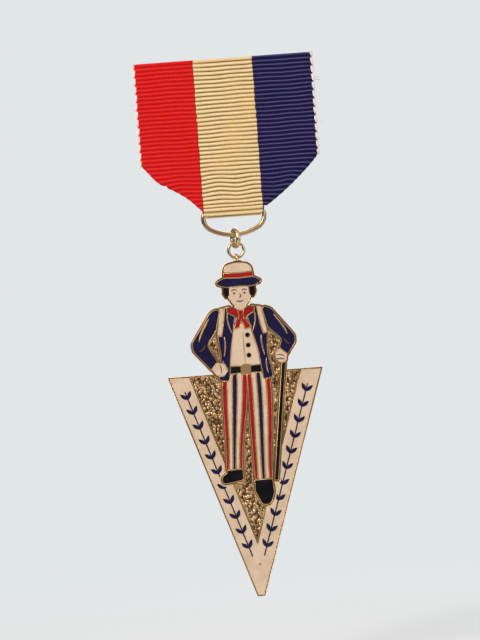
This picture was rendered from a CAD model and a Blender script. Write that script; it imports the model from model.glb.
"""Finisher medal on a three-stripe drape ribbon: the looks, built around the CAD frame.

Lengths are in millimetres, apart from the camera, the lights, the floor and the stored meshes,
which are in metres. x runs across the ribbon, -y towards the viewer and z up.
"""
import math

import bmesh
import bpy
import numpy as np
from mathutils import Matrix, Vector
from mathutils.bvhtree import BVHTree


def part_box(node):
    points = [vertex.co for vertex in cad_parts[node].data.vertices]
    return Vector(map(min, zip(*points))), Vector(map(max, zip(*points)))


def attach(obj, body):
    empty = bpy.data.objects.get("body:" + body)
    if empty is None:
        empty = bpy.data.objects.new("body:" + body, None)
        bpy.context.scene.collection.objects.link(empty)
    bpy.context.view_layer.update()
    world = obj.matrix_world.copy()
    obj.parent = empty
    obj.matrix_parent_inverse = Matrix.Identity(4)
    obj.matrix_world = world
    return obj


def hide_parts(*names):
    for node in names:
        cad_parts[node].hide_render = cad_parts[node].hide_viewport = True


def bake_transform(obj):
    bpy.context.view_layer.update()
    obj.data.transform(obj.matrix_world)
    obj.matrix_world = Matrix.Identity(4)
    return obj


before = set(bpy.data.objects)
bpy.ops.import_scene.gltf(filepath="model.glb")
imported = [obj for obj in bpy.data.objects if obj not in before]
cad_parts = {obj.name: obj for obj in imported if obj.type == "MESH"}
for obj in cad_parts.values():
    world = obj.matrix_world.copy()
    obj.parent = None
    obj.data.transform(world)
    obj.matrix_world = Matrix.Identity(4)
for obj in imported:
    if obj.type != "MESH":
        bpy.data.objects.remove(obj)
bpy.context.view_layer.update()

MM = 0.001
scene = bpy.context.scene


def in_mm(box):
    """The two corners of a box of the frame, in millimetres."""
    return [np.array(corner) / MM for corner in box]


# ---------- camera, light and floor ----------

CAMERA_PLACE = (-0.00025, -0.6045, -0.0473)
CAMERA_LENS = 171.8            # for a sensor 36 high
CAMERA_ROLL = -4.2             # degrees: the medal lies a little askew in the photo
SOFT_LIGHT = (1.0, 0.985, 0.96, 1)
SOFT_STRENGTH = 0.52
MIRROR_RISE = (-0.15, 0.6)     # heights on the unit sphere between which the mirrored tone rises
MIRROR_TONES = ((40, 36, 34), (252, 251, 250))
FLOOR_RADIUS = 0.3
FLOOR_Z = -0.116               # just under the hanging medal
FLOOR_FADE = (0.13, 0.28)      # from the shadow's ground to the backdrop's tone
LIGHTS = (
    # name, place, aim, size, power, colour
    ("key", (-0.38, -0.46, 0.22), (0, 0, -0.05), 0.32, 2.6, (1.0, 0.965, 0.91)),
    ("fill", (0.45, -0.40, 0.02), (0, 0, -0.05), 0.40, 0.9, (1.0, 0.98, 0.95)),
    ("rim", (0.10, 0.45, 0.30), (0, 0, -0.05), 0.40, 1.2, (1.0, 0.98, 0.95)),
)


def make_camera():
    """Level, from the front, far off with a long lens."""
    data = bpy.data.cameras.new("camera")
    data.sensor_fit = "VERTICAL"
    data.sensor_height = 36
    data.lens = CAMERA_LENS
    data.clip_start = 0.01
    camera = bpy.data.objects.new("camera", data)
    scene.collection.objects.link(camera)
    turn = (Matrix.Rotation(math.radians(90), 4, "X")
            @ Matrix.Rotation(math.radians(CAMERA_ROLL), 4, "Z"))
    camera.matrix_world = Matrix.Translation(CAMERA_PLACE) @ turn
    scene.camera = camera


def linear(red, green, blue):
    """A colour given as the screen shows it, 0 to 255, as the shader takes it."""
    shares = [v / 255 for v in (red, green, blue)]
    return tuple(v / 12.92 if v < 0.04045 else ((v + 0.055) / 1.055) ** 2.4
                 for v in shares) + (1.0,)


def area_light(name, place, aim, size, power, colour):
    """A square lamp at place that faces aim."""
    data = bpy.data.lights.new(name, "AREA")
    data.size = size
    data.energy = power
    data.color = colour
    light = bpy.data.objects.new(name, data)
    scene.collection.objects.link(light)
    light.location = place
    light.rotation_euler = (Vector(aim) - Vector(place)).to_track_quat("-Z", "Y").to_euler()


PAPER = linear(226, 230, 233)


def make_world():
    """Even soft light on the object, a pale backdrop behind it and a shaded one mirrored in it."""
    world = bpy.data.worlds.new("studio")
    scene.world = world
    world.use_nodes = True
    nodes = world.node_tree.nodes
    links = world.node_tree.links
    soft = nodes["Background"]
    soft.inputs["Color"].default_value = SOFT_LIGHT
    soft.inputs["Strength"].default_value = SOFT_STRENGTH
    backdrop = nodes.new("ShaderNodeBackground")
    backdrop.inputs["Color"].default_value = PAPER
    backdrop.inputs["Strength"].default_value = 1
    # what polished metal mirrors: pale above, dimmer towards the floor and low sides
    mirrored = nodes.new("ShaderNodeBackground")
    place = nodes.new("ShaderNodeTexCoord")
    split = nodes.new("ShaderNodeSeparateXYZ")
    height = nodes.new("ShaderNodeMapRange")
    height.inputs["From Min"].default_value = MIRROR_RISE[0]
    height.inputs["From Max"].default_value = MIRROR_RISE[1]
    tone = nodes.new("ShaderNodeMix")
    tone.data_type = "RGBA"
    tone.inputs[6].default_value = linear(*MIRROR_TONES[0])
    tone.inputs[7].default_value = linear(*MIRROR_TONES[1])
    links.new(place.outputs["Generated"], split.inputs[0])
    links.new(split.outputs["Z"], height.inputs["Value"])
    links.new(height.outputs[0], tone.inputs[0])
    links.new(tone.outputs[2], mirrored.inputs["Color"])
    rays = nodes.new("ShaderNodeLightPath")
    by_mirror = nodes.new("ShaderNodeMixShader")
    by_camera = nodes.new("ShaderNodeMixShader")
    through = nodes.new("ShaderNodeMath")
    through.operation = "MAXIMUM"
    links.new(rays.outputs["Is Camera Ray"], through.inputs[0])
    links.new(rays.outputs["Is Transmission Ray"], through.inputs[1])
    links.new(rays.outputs["Is Glossy Ray"], by_mirror.inputs[0])
    links.new(soft.outputs[0], by_mirror.inputs[1])
    links.new(mirrored.outputs[0], by_mirror.inputs[2])
    links.new(through.outputs[0], by_camera.inputs[0])
    links.new(by_mirror.outputs[0], by_camera.inputs[1])
    links.new(backdrop.outputs[0], by_camera.inputs[2])
    links.new(by_camera.outputs[0], nodes["World Output"].inputs["Surface"])


def make_floor():
    """A pale round table top just under the hanging medal."""
    ring = [Vector((FLOOR_RADIUS * math.cos(a), FLOOR_RADIUS * math.sin(a), FLOOR_Z))
            for a in np.linspace(0, 2 * math.pi, 96, endpoint=False)]
    mesh = bpy.data.meshes.new("floor")
    mesh.from_pydata(ring, [], [tuple(range(len(ring)))])
    floor = bpy.data.objects.new("floor", mesh)
    scene.collection.objects.link(floor)
    paint = Shader("floor_paint", Roughness=0.9)
    paint.feed(paint.surface.inputs["Base Color"], PAPER)
    # towards its rim the floor takes the backdrop's own tone; the middle keeps the shadow
    reach = paint.node("VectorMath", {0: paint.node("TexCoord", {}).outputs["Object"]},
                       operation="LENGTH").outputs["Value"]
    rays = paint.node("LightPath", {})
    seen = paint.math("MAXIMUM", rays.outputs["Is Camera Ray"], rays.outputs["Is Glossy Ray"])
    fade = paint.math("MULTIPLY", paint.smooth(reach, *FLOOR_FADE), seen)
    glow = paint.node("Emission", {"Color": PAPER, "Strength": 1.0})
    both = paint.node("MixShader", {0: fade, 1: paint.surface.outputs[0], 2: glow.outputs[0]})
    paint.links.new(both.outputs[0], paint.nodes["Material Output"].inputs["Surface"])
    mesh.materials.append(paint.material)


# ---------- node graphs ----------

class Shader:
    """A material around one Principled shader, with short names for its nodes."""

    def __init__(self, name, **values):
        self.material = bpy.data.materials.new(name)
        self.material.use_nodes = True
        self.nodes = self.material.node_tree.nodes
        self.links = self.material.node_tree.links
        self.surface = self.nodes["Principled BSDF"]
        for socket, value in values.items():
            self.feed(self.surface.inputs[socket.replace("_", " ")], value)

    def feed(self, socket, value):
        """Link a node's output to a socket, or set a plain value on it."""
        if isinstance(value, bpy.types.NodeSocket):
            self.links.new(value, socket)
        else:
            socket.default_value = value

    def node(self, kind, inputs, **settings):
        """A new node with its settings and its inputs, by name or number."""
        node = self.nodes.new("ShaderNode" + kind)
        for key, value in settings.items():
            setattr(node, key, value)
        for key, value in inputs.items():
            self.feed(node.inputs[key], value)
        return node

    def math(self, operation, *values):
        """The outcome of one Math node."""
        return self.node("Math", dict(enumerate(values)), operation=operation).outputs[0]

    def mix(self, share, first, second):
        """A colour between first, at share 0, and second, at share 1."""
        return self.node("Mix", {0: share, 6: first, 7: second}, data_type="RGBA").outputs[2]

    def smooth(self, value, low, high):
        """0 at low and 1 at high, with an eased rise between them."""
        return self.node("MapRange", {"Value": value, "From Min": low, "From Max": high},
                         interpolation_type="SMOOTHSTEP").outputs[0]

    def place(self, stretch=(1, 1, 1)):
        """The point on the piece, in millimetres."""
        point = self.node("TexCoord", {}).outputs["Object"]
        return self.node("Mapping", {"Vector": point, "Scale": [s / MM for s in stretch]},
                         vector_type="POINT").outputs[0]

    def stretched(self, vector, scale):
        """A vector scaled by its own factor along each axis."""
        return self.node("Mapping", {"Vector": vector, "Scale": scale}).outputs[0]

    def noise(self, vector, scale, detail=2.0, rough=0.5):
        """Soft noise, 0 to 1."""
        return self.node("TexNoise", {"Vector": vector, "Scale": scale, "Detail": detail,
                                      "Roughness": rough}).outputs["Fac"]

    def bump(self, height, depth):
        """depth is the height's full range in millimetres."""
        normal = self.node("Bump", {"Height": height, "Distance": depth * MM,
                                    "Strength": 1.0}).outputs[0]
        self.feed(self.surface.inputs["Normal"], normal)


# ---------- materials ----------

RIB = 0.82                     # pitch of the ribbon's ribs
STRIPE = 35.0 / 3              # width of one stripe
STRIPE_EDGE = 0.05             # half the width over which two stripes' colours mix
SEAM_FROM_EDGE = 0.06          # the sunk line between two stripes lies this far outside


def weave():
    """Ribbed three-stripe weave, coloured by where a point lies on the cut ribbon."""
    s = Shader("ribbon_weave", Roughness=0.8, Specular_IOR_Level=0.12)
    s.surface.inputs["Sheen Weight"].default_value = 0.03
    s.surface.inputs["Sheen Roughness"].default_value = 0.45
    cloth = s.node("Attribute", {}, attribute_name="cloth").outputs["Vector"]
    split = s.node("SeparateXYZ", {0: cloth})
    across = split.outputs["X"]
    along = s.math("DIVIDE", split.outputs["Y"], RIB)
    phase = s.math("FRACT", along)
    count = s.math("FLOOR", along)
    # how deep in the groove between two ribs: 0 on the crest, 1 at the bottom
    groove = s.smooth(s.math("ABSOLUTE", s.math("SUBTRACT", phase, 0.5)), 0.22, 0.46)
    crest = s.smooth(s.math("ABSOLUTE", s.math("SUBTRACT", phase, 0.46)), 0.20, 0.02)
    shift = s.node("TexWhiteNoise", {"W": count}, noise_dimensions="1D").outputs["Value"]
    edge = s.math("MULTIPLY_ADD", shift, 0.16, -0.08)
    where = s.math("ADD", across, edge)
    to_cream, to_navy = (s.smooth(where, middle - STRIPE_EDGE, middle + STRIPE_EDGE)
                         for middle in (-STRIPE / 2, STRIPE / 2))

    def striped(red, cream, navy):
        """The stripe's own colour at this point."""
        return s.mix(to_navy, s.mix(to_cream, linear(*red), linear(*cream)), linear(*navy))

    body = striped((207, 16, 18), (215, 183, 130), (25, 21, 70))
    low = striped((166, 8, 13), (98, 64, 30), (9, 7, 38))
    high = striped((228, 62, 52), (255, 240, 210), (112, 101, 146))
    colour = s.mix(s.math("MULTIPLY", crest, 0.5), body, high)
    colour = s.mix(s.math("MULTIPLY", groove, 0.88), colour, low)
    # the cream threads have yellowed in broad soft patches
    patch = s.smooth(s.noise(s.stretched(cloth, (0.09, 0.075, 1)), 1.0, 1.0), 0.42, 0.66)
    only_cream = s.math("MULTIPLY", to_cream, s.math("SUBTRACT", 1.0, to_navy))
    colour = s.mix(s.math("MULTIPLY", s.math("MULTIPLY", patch, only_cream), 0.30), colour,
                   linear(222, 184, 104))
    # a sunk dark line where two stripes meet
    seam = s.math("MAXIMUM", *(
        s.smooth(s.math("ABSOLUTE", s.math("SUBTRACT", where, middle)), 0.12, 0.03)
        for middle in (-STRIPE / 2 - SEAM_FROM_EDGE, STRIPE / 2 + SEAM_FROM_EDGE)))
    colour = s.mix(s.math("MULTIPLY", seam, 0.6), colour, linear(58, 16, 20))
    # fine lengthwise threads over each rib, and uneven dye
    threads = s.noise(s.stretched(cloth, (6.0, 0.7, 1)), 1.0, 2.0)
    dye = s.noise(s.stretched(cloth, (0.5, 1.1, 1)), 1.0, 3.0)
    shade = s.math("MULTIPLY_ADD", threads, 0.34, s.math("MULTIPLY", dye, 0.28))
    shade = s.math("ADD", shade, 0.70)
    grey = s.node("CombineColor", {0: shade, 1: shade, 2: shade}).outputs[0]
    s.feed(s.surface.inputs["Base Color"],
           s.node("Mix", {0: 1.0, 6: colour, 7: grey}, data_type="RGBA",
                  blend_type="MULTIPLY").outputs[2])
    s.bump(threads, 0.07)
    return s.material


def thread(name, colour, tint):
    """Twisted sewing thread, its turns between the two colours."""
    s = Shader(name, Roughness=0.75)
    s.surface.inputs["Sheen Weight"].default_value = 0.3
    twist = s.node("TexWave", {"Vector": s.place(), "Scale": 1.6, "Distortion": 1.5},
                   bands_direction="DIAGONAL").outputs["Fac"]
    s.feed(s.surface.inputs["Base Color"], s.mix(twist, linear(*tint), linear(*colour)))
    s.bump(twist, 0.05)
    return s.material


def metal(name, bright, dull, dark, rough, grain=0.012, streak=(1, 1, 1), wash=None,
          polished=None):
    """Polished metal with finger-dulled patches, fine scratches and tarnish specks.

    wash is (clear, full, colour): the antique wash is absent at the first depth, in mm, and
    covers the metal at the second. polished is a spot, in mm, that has been rubbed bright.
    """
    s = Shader(name, Metallic=1.0)
    patches = s.smooth(s.noise(s.place(), 0.11, 4.0), 0.25, 0.8)
    fine = s.noise(s.place(streak), 2.4, 4.0, 0.65)
    specks = s.smooth(s.noise(s.place(), 1.9, 2.0), 0.66, 0.80)
    colour = s.mix(patches, linear(*bright), linear(*dull))
    colour = s.mix(s.math("MULTIPLY", specks, 0.55), colour, linear(*dark))
    if wash:
        depth = s.node("SeparateXYZ", {0: s.place()}).outputs["Y"]
        cover = s.math("MULTIPLY", s.smooth(depth, wash[0], wash[1]), 0.94)
        if polished:
            away = s.node("VectorMath", {0: s.place(), 1: polished},
                          operation="DISTANCE").outputs["Value"]
            cover = s.math("MULTIPLY", cover, s.smooth(away, 1.7, 2.1))
        colour = s.mix(cover, colour, linear(*wash[2]))
    s.feed(s.surface.inputs["Base Color"], colour)
    worn = s.math("MULTIPLY_ADD", fine, 0.22, rough - 0.1)
    s.feed(s.surface.inputs["Roughness"],
           s.math("MULTIPLY_ADD", patches, 0.08, s.math("MULTIPLY_ADD", specks, 0.2, worn)))
    s.bump(fine, grain)
    return s.material


def enamel(name, colour, mottle, pit=None):
    """Fired enamel: glossy, faintly uneven, with pinholes; pit is one larger flaw."""
    s = Shader(name, Specular_IOR_Level=0.22)
    s.surface.inputs["Coat Weight"].default_value = 0.14
    s.surface.inputs["Coat Roughness"].default_value = 0.06
    place = s.place()
    cloud = s.smooth(s.noise(place, 0.35, 3.0), 0.36, 0.66)
    holes = s.smooth(s.noise(place, 3.1, 1.0), 0.76, 0.80)
    shade = s.mix(cloud, linear(*colour), linear(*mottle))
    dark = linear(*[c * 0.35 for c in mottle])
    shade = s.mix(s.math("MULTIPLY", holes, 0.6), shade, dark)
    if pit:
        away = s.node("VectorMath", {0: place, 1: pit}, operation="DISTANCE").outputs["Value"]
        shade = s.mix(s.smooth(away, 0.30, 0.12), shade, linear(118, 94, 70))
    s.feed(s.surface.inputs["Base Color"], shade)
    s.feed(s.surface.inputs["Roughness"], s.math("MULTIPLY_ADD", cloud, 0.1, 0.16))
    waves = s.noise(place, 0.8, 2.0)
    s.bump(s.math("SUBTRACT", waves, s.math("MULTIPLY", holes, 0.5)), 0.06)
    return s.material


# ---------- mesh helpers ----------

def new_piece(name, points, faces, material, body):
    """A smooth mesh piece from points in millimetres, riding on a body if one is given."""
    mesh = bpy.data.meshes.new(name)
    mesh.from_pydata([tuple(p) for p in np.asarray(points) * MM], [], faces)
    mesh.materials.append(material)
    mesh.shade_smooth()
    mesh.update()
    piece = bpy.data.objects.new(name, mesh)
    scene.collection.objects.link(piece)
    if body:
        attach(piece, body)
    return piece


def circle(sides):
    """Angles of equal steps round a circle."""
    return np.linspace(0, 2 * math.pi, sides, endpoint=False)


def skin(count, sides, closed=False):
    """Faces over count rings of points. The ends get caps unless the last ring meets the first."""
    steps = count if closed else count - 1
    faces = [(i * sides + j, i * sides + (j + 1) % sides,
              (i + 1) % count * sides + (j + 1) % sides, (i + 1) % count * sides + j)
             for i in range(steps) for j in range(sides)]
    if not closed:
        faces.append(tuple(range(sides))[::-1])
        faces.append(tuple((count - 1) * sides + j for j in range(sides)))
    return faces


def tube(path, radius, sides=8):
    """Points and faces of a round thread along path, closed and tapered at both ends."""
    path = np.asarray(path, float)
    along = np.gradient(path, axis=0)
    along /= np.linalg.norm(along, axis=1)[:, None]
    side = np.cross(along, (0.31, 0.17, 0.93))       # any direction that no path follows
    side /= np.linalg.norm(side, axis=1)[:, None]
    up = np.cross(along, side)
    share = np.linspace(0, 1, len(path))
    width = radius * np.clip(np.sqrt(1 - (2 * share - 1) ** 6), 0.35, 1)
    turn = circle(sides)
    rings = (path[:, None] + width[:, None, None] * (side[:, None] * np.cos(turn)[None, :, None]
             + up[:, None] * np.sin(turn)[None, :, None]))
    return rings.reshape(-1, 3), skin(len(path), sides)


def gather(parts):
    """Several (points, faces) as one."""
    points, faces, start = [], [], 0
    for some, rings in parts:
        points.append(some)
        faces += [tuple(start + i for i in face) for face in rings]
        start += len(some)
    return np.concatenate(points), faces


def smooth_path(corners, count=4):
    """A rounded path through the corners (Catmull-Rom)."""
    corners = np.asarray(corners, float)
    ends = np.concatenate([[2 * corners[0] - corners[1]], corners,
                           [2 * corners[-1] - corners[-2]]])
    path = []
    for a, b, c, d in zip(ends, ends[1:], ends[2:], ends[3:]):
        for t in np.linspace(0, 1, count, endpoint=False):
            path.append(0.5 * (2 * b + (c - a) * t + (2 * a - 5 * b + 4 * c - d) * t ** 2
                               + (3 * b - a - 3 * c + d) * t ** 3))
    path.append(corners[-1])
    return np.array(path)


# ---------- the ribbon ----------

ribbon_high = in_mm(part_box("ribbon"))[1]
dee_low, dee_high = in_mm(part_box("d_ring"))
HALF = ribbon_high[0]                      # half the ribbon's width
TOP = ribbon_high[2]
MID_Y = (dee_low[1] + dee_high[1]) / 2     # between the two layers
WIRE = (dee_high[1] - dee_low[1]) / 2      # the D-ring's wire, a radius
BAR_Z = dee_high[2] - WIRE                 # axis of the D-ring's bar
LAYER = 0.3                                # each layer's middle lies this far from MID_Y
CORE = 0.14                                # half the cloth's thickness in a groove
RIB_RISE = 0.13                            # how far a rib's crest stands above that
ROWS_PER_RIB = 6                           # mesh rows
LOOP = WIRE + 0.4                          # the loop round the bar, at the cloth's middle
END_GAP = 0.06                             # half the gap where the two ends meet behind
CORNER_Z = TOP - 19.9                      # where the folded corners start
NECK_Z = BAR_Z + 0.6                       # where the full width ends and the tongue starts
NECK = 5.4                                 # half the width that goes round the bar
FOLD_LOW = np.array([6.15, NECK_Z])        # the folded edge, from its lower end
FOLD_HIGH = np.array([HALF, CORNER_Z])     # to the corner
FOLD_LONG = np.linalg.norm(FOLD_LOW - FOLD_HIGH)
FOLD_ALONG = (FOLD_LOW - FOLD_HIGH) / FOLD_LONG
FOLD_OUT = np.array([-FOLD_ALONG[1], FOLD_ALONG[0]])
FOLD_R = 2 * LAYER                         # the flap wraps round the back layer's edge
ARCH_POINTS = 13                           # path points over the top, and round the bar
EASE_POINTS = 9                            # path points where a layer spreads to the loop
FRONT_START = ARCH_POINTS                  # path point where the top fold meets the front
BAR_LEVEL = FRONT_START + EASE_POINTS      # path point beside the bar, in front


def ribbon_path():
    """Middle of the cloth (y, z), from behind the bar over the top and round the D-ring."""
    arch = np.linspace(0, math.pi, ARCH_POINTS)
    start = TOP - (CORE + RIB_RISE) - LAYER
    ease = np.linspace(0, 1, EASE_POINTS)
    step = ease * ease * (3 - 2 * ease)
    down_z = BAR_Z + 1.5 * (1 - ease)
    front = MID_Y - LAYER + (LAYER - LOOP) * step
    back = 2 * MID_Y - front
    parts = [
        [(MID_Y + LAYER, END_GAP)],
        np.c_[MID_Y + LAYER * np.cos(arch), start + LAYER * np.sin(arch)],
        np.c_[front, down_z],
        np.c_[MID_Y - LOOP * np.cos(arch), BAR_Z - LOOP * np.sin(arch)][1:],
        np.c_[back, down_z][::-1][1:],
        [(MID_Y + LAYER, -END_GAP)],
    ]
    path = np.concatenate(parts)
    reach = np.r_[0, np.cumsum(np.linalg.norm(np.diff(path, axis=0), axis=1))]
    return path, reach


PATH, REACH = ribbon_path()
LENGTH = REACH[-1]
S_TOP = 0.5 * (REACH[1] + REACH[FRONT_START])                    # crest of the top fold
S_FRONT = REACH[FRONT_START] + (PATH[FRONT_START, 1] - NECK_Z)   # neck on the front
S_BACK = LENGTH - (-END_GAP - NECK_Z)                            # neck on the back
S_BAR = REACH[BAR_LEVEL]                                         # level with the bar, in front
S_LIP = S_BAR + 0.62 * LOOP                                      # end of the two front lips


def fold_line(t, right):
    """How far the folded edge bulges out at share t from the corner to the neck."""
    left = (0.60 * np.exp(-((t - 0.32) / 0.17) ** 2) - 0.36 * np.exp(-((t - 0.78) / 0.20) ** 2)
            - 0.30 * np.exp(-((t - 0.42) / 0.022) ** 2))
    convex = 0.5 * np.sin(math.pi * np.clip(t, 0, 1)) ** 0.8
    # the fold's own radius lies inside the outline
    return np.where(right, convex, left) - FOLD_R


def wave(x, s):
    """How far a rib lies along the ribbon from straight; it is most uneven near the D-ring."""
    ends = np.clip(s / 3, 0, 1) * np.clip((LENGTH - s) / 3, 0, 1)
    calm = 1 - np.exp(-((s - S_TOP) / 1.5) ** 2)
    neck = np.exp(-((s - S_FRONT + 4.5) / 3.0) ** 2)
    hold = 1 - np.exp(-((s - 0.5 * (S_FRONT + S_BACK)) / 2.2) ** 2)
    ripple = (0.045 * np.sin(0.42 * x + 0.17 * s + 1.3) + 0.03 * np.sin(0.93 * x - 0.4 * s)
              + 0.13 * neck * np.sin(0.85 * x + 0.6))
    return ripple * ends * calm * hold


def cloth(x, s):
    """Where a point of the flat ribbon, x across and s along, lies once it is folded."""
    # the front ends just past the row where the neck is cut
    front = (s > REACH[FRONT_START]) & (s < S_FRONT + 0.07)
    s = np.clip(s + wave(x, s), 0, LENGTH)
    y = np.interp(s, REACH, PATH[:, 0])
    z = np.interp(s, REACH, PATH[:, 1])
    # the corners keep out of the bulge round the bar
    away = np.clip((np.abs(x) - 5.9) / 1.2, 0, 1)
    y = np.where(front, y + (MID_Y - LAYER - y) * away, y)
    side = np.sign(x) + (x == 0)
    from_corner_x = np.abs(x) - FOLD_HIGH[0]
    from_corner_z = z - FOLD_HIGH[1]
    out = from_corner_x * FOLD_OUT[0] + from_corner_z * FOLD_OUT[1]
    down = from_corner_x * FOLD_ALONG[0] + from_corner_z * FOLD_ALONG[1]
    bulge = fold_line(down / FOLD_LONG, x > 0)
    past = out - bulge
    bend = np.clip(past / FOLD_R, 0, math.pi)
    flat = np.maximum(past - math.pi * FOLD_R, 0)
    new_out = np.where(past > 0, bulge + FOLD_R * np.sin(bend) - flat, out)
    lift = FOLD_R * (1 - np.cos(bend)) + 0.0035 * flat ** 2
    new_x = FOLD_HIGH[0] + down * FOLD_ALONG[0] + new_out * FOLD_OUT[0]
    new_z = FOLD_HIGH[1] + down * FOLD_ALONG[1] + new_out * FOLD_OUT[1]
    folds = front & (past > 0)
    # a slow swell over the whole face, as cloth that was once creased
    swell = 0.10 * np.sin(0.23 * x + 0.9) * np.sin(0.19 * z + 0.4)
    swell = np.where(front & ~folds, swell * np.clip((z - NECK_Z) / 6, 0, 1)
                     * np.clip((TOP - z) / 3, 0, 1), 0)
    return np.stack([np.where(folds, side * new_x, x), np.where(folds, y + lift, y) + swell,
                     np.where(folds, new_z, z)], axis=-1)


def cloth_normal(x, s):
    """The way the cloth's outer side faces, away from the inside of the loop."""
    step = 0.05
    across = cloth(x + step, s) - cloth(x - step, s)
    along = cloth(x, s + step) - cloth(x, s - step)
    normal = np.cross(along, across)
    return normal / np.maximum(np.linalg.norm(normal, axis=-1), 1e-9)[..., None]


def back_half(s):
    """Half the width of the back layer, which is trimmed inside the folded corners."""
    z = np.interp(s, REACH, PATH[:, 1])
    on_line = FOLD_HIGH[0] + (z - FOLD_HIGH[1]) * FOLD_ALONG[0] / FOLD_ALONG[1] - 2.0
    behind = s > (S_FRONT + S_BACK) / 2
    return np.where(behind, np.clip(on_line, NECK + 0.02, HALF), HALF)


def row_at(s):
    """The mesh row nearest to s."""
    return int(round(s / (RIB / ROWS_PER_RIB)))


NECK_ROWS = (row_at(S_FRONT), row_at(S_BACK))   # the two cut edges at the neck fall on rows
LIP_ROW = row_at(S_LIP)


def ribbon_columns():
    """x of the mesh's columns on the flat ribbon, and the outer edge of the two lips."""
    inner = np.linspace(0, NECK, 13)
    outer = np.linspace(NECK, HALF, 28)[1:]
    half = np.r_[inner, outer]
    return np.r_[-half[:0:-1], half], outer[1]


def ribbon_grid(columns, lip_edge):
    """x and s of the mesh's points on the cut cloth, and their x on the uncut ribbon."""
    count = int(LENGTH / (RIB / ROWS_PER_RIB))
    s = np.arange(count + 1) * RIB / ROWS_PER_RIB
    grid_x, grid_s = np.meshgrid(columns, s)
    side, past_neck = np.sign(grid_x), np.abs(grid_x) - NECK
    squeezed = side * (NECK + past_neck * (back_half(grid_s) - NECK) / (HALF - NECK))
    # two lips in front of the D-ring's shoulders, rounded off below
    rows = np.arange(len(s))
    lip = (rows > NECK_ROWS[0]) & (rows <= LIP_ROW)
    fall = np.clip((s - S_FRONT) / (S_LIP - S_FRONT), 0, 1)[:, None]
    lip_x = side * (NECK + past_neck * (0.84 - 0.4 * fall ** 2))
    squeezed = np.where(lip[:, None] & (np.abs(grid_x) < lip_edge + 0.01), lip_x, squeezed)
    return np.where(np.abs(grid_x) > NECK + 1e-6, squeezed, grid_x), grid_s, grid_x


def ribbon_faces(rows, columns, lip_edge):
    """Faces of the cloth's outer side, and the edges along its border."""
    width = len(columns)
    faces, edges = [], {}
    for i in range(rows - 1):
        limit = HALF
        if NECK_ROWS[0] <= i < NECK_ROWS[1]:
            limit = lip_edge if i < LIP_ROW else NECK
        for j in range(width - 1):
            if max(abs(columns[j]), abs(columns[j + 1])) > limit + 1e-6:
                continue
            a, b = i * width + j, i * width + j + 1
            c, d = b + width, a + width
            faces.append((a, d, c, b))
            for edge in ((a, d), (d, c), (c, b), (b, a)):
                if edges.pop(edge[::-1], None) is None:
                    edges[edge] = True
    return faces, edges


def make_ribbon():
    """The folded ribbon as one closed sheet, its ribs in the mesh, with each point's flat place."""
    columns, lip_edge = ribbon_columns()
    x, s, uncut_x = ribbon_grid(columns, lip_edge)
    middle = cloth(x, s)
    normal = cloth_normal(x, s)
    phase = (s / RIB) % 1.0
    rng = np.random.default_rng(11)
    uneven = 1 + 0.16 * (rng.random((len(s), 1)) - 0.5) + 0.12 * (rng.random(x.shape) - 0.5)
    rib = RIB_RISE * np.sqrt(np.clip(1 - (2 * phase - 1) ** 2, 0, 1)) * uneven
    thin_edge = np.clip((HALF - np.abs(uncut_x)) / 0.5, 0.35, 1)
    half_thick = ((CORE + rib) * thin_edge)[..., None]
    points = np.concatenate([(middle + normal * half_thick).reshape(-1, 3),
                             (middle - normal * half_thick).reshape(-1, 3)])
    faces, edges = ribbon_faces(len(s), columns, lip_edge)
    inner = x.size                          # the inner side's points come after the outer side's
    faces += ([tuple(inner + k for k in face[::-1]) for face in faces]
              + [(b, a, inner + a, inner + b) for a, b in edges])
    used = np.unique(np.ravel(faces))
    index = np.zeros(len(points), int)
    index[used] = np.arange(len(used))
    faces = [tuple(int(index[k]) for k in face) for face in faces]
    piece = new_piece("ribbon_cloth", points[used], faces, weave(), None)
    flat = np.stack([x, s, np.zeros_like(x)], axis=-1).reshape(-1, 3)
    flat = np.concatenate([flat, flat])[used]
    layer = piece.data.attributes.new("cloth", "FLOAT_VECTOR", "POINT")
    layer.data.foreach_set("vector", flat.astype(np.float32).ravel())
    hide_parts("ribbon")
    # the loop turns with the D-ring, so its lips keep clear of the ring's shoulders
    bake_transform(piece)
    return piece


def ribbon_flat_area():
    """Area of the cut cloth, in square mm: full width to the neck, then the tongue."""
    s = np.linspace(0, LENGTH, 4000)
    half = np.where((s > S_FRONT) & (s < S_BACK), NECK, back_half(s))
    return float(np.sum(half[1:] + half[:-1]) * (s[1] - s[0]))


def make_selvedge():
    """White thread that binds both edges in slanting stitches, one to two ribs."""
    parts = []
    rng = np.random.default_rng(5)
    pitch = 2 * RIB
    for side in (-1, 1):
        for start in np.arange(0.3, LENGTH - pitch, pitch):
            if S_FRONT - pitch < start < S_BACK or back_half(np.array(start + 1.3)) < HALF - 0.01:
                continue
            share = np.linspace(0, 1, 9)
            s = start + (0.03 + 0.84 * share) * pitch + 0.06 * rng.random()
            x = side * (HALF - 0.12 + 0.20 * share + 0.06 * rng.random())
            lift = 0.24 - 0.16 * share ** 2 - 0.20 * (1 - np.sin(math.pi * share))
            path = cloth(x, s) + cloth_normal(x, s) * lift[:, None]
            parts.append(tube(path, 0.25 + 0.03 * rng.random()))
    points, faces = gather(parts)
    return new_piece("ribbon_selvedge", points, faces,
                     thread("selvedge_thread", (250, 240, 234), (226, 200, 192)),
                     "ribbon_and_bar")


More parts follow.
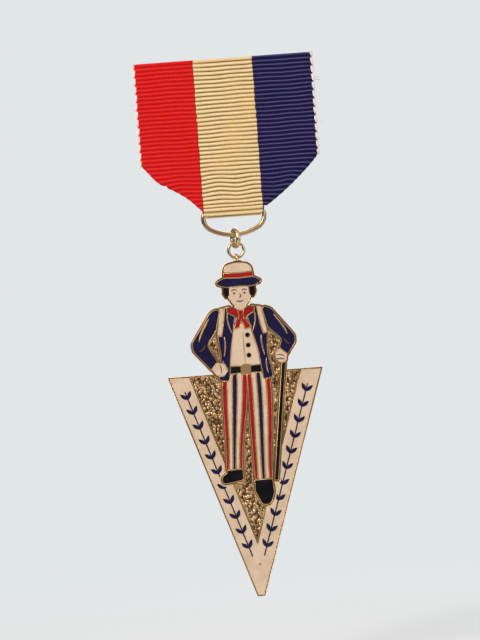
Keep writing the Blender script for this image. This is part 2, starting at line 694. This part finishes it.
def make_fuzz():
    """A few loose fibres on the right edge and at the pinched fold."""
    rng = np.random.default_rng(21)
    parts = []
    spots = [(HALF, S_TOP + 4.6, 5), (HALF, S_TOP + 13.0, 2), (-HALF, S_TOP + 8.0, 2)]
    for x, s, count in spots:
        for _ in range(count):
            here = s + 0.8 * rng.random()
            start = cloth(np.array(x), np.array(here))
            way = np.array([np.sign(x) * (0.5 + rng.random()), 0.5 * rng.random() - 0.4,
                            0.9 * rng.random() - 0.5])
            curl = np.array([rng.random() - 0.5, rng.random() - 0.5, rng.random() - 0.5])
            share = np.linspace(0, 1, 10)[:, None]
            path = start + way * share + curl * share ** 2 * 0.9
            parts.append(tube(path, 0.035, 5))
    points, faces = gather(parts)
    return new_piece("ribbon_fuzz", points, faces,
                     thread("loose_fibre", (226, 214, 206), (190, 170, 160)),
                     "ribbon_and_bar")


HOLES = (-7.0, 0.0, 7.0)       # the bar plate's sewing holes, along x
PLATE_EDGE = 2.5               # half the bar plate's height
TACK_X, TACK_Z = 9.2, -14.6    # the first tack on a flap


def make_sewing():
    """Thread through the bar plate's three holes, and tacks at the flaps' inner corners."""
    skin_y = MID_Y + LAYER + 0.25         # outer face of the ribbon's back layer
    back = skin_y + 0.62                  # outer face of the bar plate
    parts = []
    rng = np.random.default_rng(3)
    for hole in HOLES:
        for up in (-1, 1):
            for strand in (-0.16, 0.14):
                x = hole + strand
                lean = 0.5 * (rng.random() - 0.5)
                path = [(x, skin_y - 0.2, 0.1 * up), (x, back, 0.25 * up),
                        (x + 0.2 * lean, back + 0.13, 0.55 * up),
                        (x + 0.6 * lean, back + 0.15, 1.5 * up),
                        (x + lean, back + 0.13, (PLATE_EDGE - 0.15) * up),
                        (x + lean, back - 0.1, (PLATE_EDGE + 0.16) * up),
                        (x + lean, skin_y - 0.15, (PLATE_EDGE + 0.22) * up)]
                parts.append(tube(smooth_path(path), 0.13))
    for side in (-1, 1):
        for k in range(3):
            x = side * TACK_X + side * (0.3 * k)
            z = TACK_Z - 0.75 * k
            path = [(x + side * 0.5, skin_y + 0.45, z + 0.05),
                    (x + side * 0.35, skin_y + 0.83, z),
                    (x - side * 0.35, skin_y + 0.80, z - 0.1),
                    (x - side * 0.9, skin_y + 0.2, z - 0.14),
                    (x - side * 1.0, skin_y - 0.1, z - 0.14)]
            parts.append(tube(smooth_path(path), 0.11))
    points, faces = gather(parts)
    return new_piece("sewing_thread", points, faces,
                     thread("sewing_cotton", (228, 214, 190), (188, 168, 140)),
                     "ribbon_and_bar")


# ---------- the struck plate ----------

FIELD_DEPTH = 0.35             # the open field lies this far behind the metal lines' front
GRID = 0.08                    # pitch of the field's mesh
GRAIN_CELL = 0.46              # one grain in each square of this size
GRAIN_REACH = 0.27             # half a middling grain's width
GRAIN_RISE = 0.21              # a middling grain's height
BEAD = 0.055                   # radius of the bead along a rubbed edge
BEAD_IN, BEAD_BACK = 0.045, 0.028    # its middle, from the line's corner
FINE_LINE = 2.2                # closed lines smaller than this aren't rubbed bright


def open_field(plate, xs, zs, floor_y):
    """Which points of the grid lie over the plate's open field."""
    tree = BVHTree.FromObject(plate, bpy.context.evaluated_depsgraph_get())
    inside = np.zeros((len(zs), len(xs)), bool)
    for i, z in enumerate(zs):
        for j, x in enumerate(xs):
            hit = tree.ray_cast(Vector((x * MM, -0.02, z * MM)), Vector((0, 1, 0)))[0]
            inside[i, j] = hit is not None and abs(hit.y / MM - floor_y) < 0.02
    return inside


def make_field(material):
    """Pebbled ground of the shield: a fine grid over each flat field, raised in grains."""
    plate_low, plate_high = in_mm(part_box("medal_plate"))
    floor_y = plate_low[1] + FIELD_DEPTH
    xs = np.arange(plate_low[0], plate_high[0], GRID)
    zs = np.arange(plate_low[2], plate_high[2], GRID)
    inside = open_field(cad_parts["medal_plate"], xs, zs, floor_y)
    rng = np.random.default_rng(17)
    grains = {}

    def grain(a, b):
        """Place and size of the grain in one square, drawn when it is first asked for."""
        if (a, b) not in grains:
            grains[a, b] = ((a + 0.15 + 0.7 * rng.random()) * GRAIN_CELL,
                            (b + 0.15 + 0.7 * rng.random()) * GRAIN_CELL,
                            0.75 + 0.5 * rng.random())
        return grains[a, b]

    index, points, faces = {}, [], []
    for i, j in zip(*np.nonzero(inside)):
        x, z = xs[j], zs[i]
        a, b = int(math.floor(x / GRAIN_CELL)), int(math.floor(z / GRAIN_CELL))
        rise = 0.0
        for da in (-1, 0, 1):
            for db in (-1, 0, 1):
                gx, gz, size = grain(a + da, b + db)
                # grains are longer along z
                near = 1 - ((x - gx) ** 2 + 0.45 * (z - gz) ** 2) / (GRAIN_REACH * size) ** 2
                rise = max(rise, GRAIN_RISE * size * math.sqrt(max(near, 0)))
        index[i, j] = len(points)
        points.append((x, floor_y - 0.02 - rise, z))
    for i, j in index:
        corners = [(i, j), (i, j + 1), (i + 1, j + 1), (i + 1, j)]
        if all(c in index for c in corners):
            faces.append(tuple(index[c] for c in corners))
    used = sorted({k for face in faces for k in face})
    renumber = {old: new for new, old in enumerate(used)}
    return new_piece("field_grain", [points[k] for k in used],
                     [tuple(renumber[k] for k in face) for face in faces], material,
                     "pendant")


def top_corners(shape):
    """Each vertex on an edge of a flat front face, with its neighbours and walls there."""
    near = {}
    for edge in shape.edges:
        if len(edge.link_faces) != 2 or not edge.is_convex:
            continue
        top, wall = sorted(edge.link_faces, key=lambda face: face.normal.y)
        if top.normal.y > -0.99 or abs(wall.normal.y) > 0.5:
            continue
        for vert in edge.verts:
            near.setdefault(vert, []).append((edge.other_vert(vert), wall.normal.copy()))
    return near


def closed_chains(near):
    """Runs of such vertices that close on themselves."""
    done = set()
    for start in sorted(near, key=lambda vert: tuple(vert.co)):
        if start in done or len(near[start]) != 2:
            continue
        chain = [start]
        while True:
            done.add(chain[-1])
            onward = [v for v, _ in near[chain[-1]] if v not in done and len(near[v]) == 2]
            if not onward:
                break
            chain.append(onward[0])
        if len(chain) >= 3 and chain[0] in [v for v, _ in near[chain[-1]]]:
            yield chain


def make_worn_edges(material):
    """The bright, rubbed edge of every raised metal line: a fine bead along its corner."""
    shape = bmesh.new()
    shape.from_mesh(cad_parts["medal_plate"].data)
    bmesh.ops.remove_doubles(shape, verts=shape.verts, dist=0.002 * MM)
    near = top_corners(shape)
    parts = []
    turn = circle(6)
    for chain in closed_chains(near):
        place = np.array([tuple(v.co) for v in chain]) / MM
        if np.ptp(place, axis=0).max() < FINE_LINE:      # the face and the hands stay dark
            continue
        inward = np.array([tuple(-(near[v][0][1] + near[v][1][1])) for v in chain])
        inward /= np.maximum(np.linalg.norm(inward, axis=1), 1e-9)[:, None]
        middle = place + BEAD_IN * inward + (0, BEAD_BACK, 0)
        rings = middle[:, None] + BEAD * (inward[:, None] * np.cos(turn)[None, :, None]
                                          + np.array((0, 1.0, 0)) * np.sin(turn)[None, :, None])
        parts.append((rings.reshape(-1, 3), skin(len(chain), len(turn), closed=True)))
    shape.free()
    points, faces = gather(parts)
    piece = new_piece("struck_edges", points, faces, material, "pendant")
    fix = bmesh.new()
    fix.from_mesh(piece.data)
    bmesh.ops.recalc_face_normals(fix, faces=fix.faces)
    fix.to_mesh(piece.data)
    fix.free()
    return piece


# ---------- rings ----------

RING_SEAM = 0.5                # half a butted ring's cut, in degrees
LINK_TURN = 20                 # from the YZ plane, in degrees: the photo shows both its sides
JUMP_TURN = -90                # the jump ring faces the viewer, its cut to the right


def make_loop(name, node, body, turned, material):
    """A butted wire ring in the place of a CAD node, turned about the upright."""
    low, high = in_mm(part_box(node))
    centre, wire = 0.5 * (low + high), 0.5 * min(high - low)
    radius = 0.5 * (high[2] - low[2]) - wire
    along = np.radians(np.linspace(RING_SEAM, 360 - RING_SEAM, 73))[:, None]
    turn = circle(20)[None, :]
    out = radius + wire * np.cos(turn)
    rings = np.stack([wire * np.sin(turn) + 0 * along, out * np.cos(along),
                      out * np.sin(along)], axis=-1)
    points = rings.reshape(-1, 3) @ np.array(Matrix.Rotation(math.radians(turned), 3, "Z")).T
    faces = [face[::-1] for face in skin(*rings.shape[:2])]
    piece = new_piece(name, points + centre, faces, material, body)
    piece.modifiers.new("crease", "EDGE_SPLIT").split_angle = math.radians(50)
    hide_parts(node)


# ---------- carried-over CAD nodes ----------

ENAMELS = {
    "cream": ("band_enamel", "face_enamel", "hand_enamel", "hat_crown_enamel", "shirt_enamel",
              "strap_enamel", "trouser_white_enamel"),
    "navy": ("hat_brim_enamel", "jacket_enamel", "laurel_enamel", "trouser_navy_enamel"),
    "red": ("hat_band_enamel", "kerchief_enamel", "trouser_red_enamel"),
    "black": ("belt_enamel", "button_enamel", "hair_enamel", "shoe_enamel", "stick_enamel"),
}
# antique wash: clear at the first depth, full at the second, and its colour
LINE_WASH = (-4.42, -4.47, (138, 97, 62))      # over the tops of the metal lines
FIELD_WASH = (-4.42, -4.29, (40, 24, 12))      # in the hollows between the grains
BAND_PIT = (0.2, -4.5, -95.4)                  # a large pinhole near the shield's point


def dress(node, material, bevel=0.0, angle=35):
    """Give a CAD node its material, and creases or small worn edges beyond the angle."""
    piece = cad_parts[node]
    piece.data.materials.clear()
    piece.data.materials.append(material)
    if "custom_normal" in piece.data.attributes:
        piece.data.attributes.remove(piece.data.attributes["custom_normal"])
    piece.data.shade_smooth()
    weld = piece.modifiers.new("weld", "WELD")
    weld.merge_threshold = 0.002 * MM
    if bevel:
        plain = piece.modifiers.new("flats", "DECIMATE")
        plain.decimate_type = "DISSOLVE"
        plain.angle_limit = math.radians(0.5)
        worn = piece.modifiers.new("worn_edge", "BEVEL")
        worn.width = bevel * MM
        worn.segments = 2
        worn.limit_method = "ANGLE"
        worn.angle_limit = math.radians(angle)
        worn.harden_normals = True
    else:
        crease = piece.modifiers.new("crease", "EDGE_SPLIT")
        crease.split_angle = math.radians(angle)


def dress_rings():
    """Gilt wire: the D-ring and the eyelet as in CAD, the link and the jump ring as new loops."""
    brass = metal("ring_metal", (218, 187, 142), (126, 93, 63), (50, 34, 24), 0.15)
    for node in ("d_ring", "eyelet"):
        dress(node, brass, angle=50)
    make_loop("link_loop", "link_ring", "link", LINK_TURN, brass)
    make_loop("jump_loop", "jump_ring", "jump", JUMP_TURN, brass)


def dress_pin():
    """Nickel-plated steel, drawn along x."""
    steel = metal("pin_metal", (206, 204, 198), (178, 174, 166), (92, 84, 74), 0.26,
                  streak=(0.15, 1, 1))
    for node, bevel in (("bar_plate", 0.08), ("hinge_rivet", 0.05), ("catch_housing", 0.05),
                        ("catch_barrel", 0.04)):
        dress(node, steel, bevel)
    dress("pin_needle", steel, angle=30)


def dress_plate():
    """The struck metal, its lines under an antique wash and its buckle rubbed bright."""
    buckle = [float(v) for v in 0.5 * sum(in_mm(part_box("belt_enamel")))]   # amid the belt
    gilt = metal("struck_metal", (222, 184, 130), (192, 152, 102), (104, 74, 46), 0.27,
                 wash=LINE_WASH, polished=buckle)
    dress("medal_plate", gilt, angle=30)


def dress_enamels():
    """Each fill in its own colour, with a small meniscus at its edge."""
    colours = {
        "cream": enamel("cream_enamel", (209, 183, 158), (198, 170, 144), BAND_PIT),
        "navy": enamel("navy_enamel", (27, 22, 60), (20, 16, 48)),
        "red": enamel("red_enamel", (160, 20, 24), (138, 14, 20)),
        "black": enamel("black_enamel", (10, 7, 12), (16, 11, 17)),
    }
    for colour, nodes in ENAMELS.items():
        for node in nodes:
            dress(node, colours[colour], 0.03)


# ---------- the scene ----------

make_camera()
make_world()
for light in LIGHTS:
    area_light(*light)
make_floor()
scene.view_settings.view_transform = "Standard"

dress_rings()
dress_pin()
dress_plate()
dress_enamels()
make_field(metal("field_metal", (232, 190, 142), (186, 142, 98), (74, 46, 30), 0.22, 0.02,
                 wash=FIELD_WASH))
make_worn_edges(metal("rubbed_metal", (240, 204, 150), (214, 174, 122), (120, 88, 54), 0.2))
ribbon = make_ribbon()
selvedge = make_selvedge()
make_fuzz()
make_sewing()
ribbon_flat_area() * MM * MM
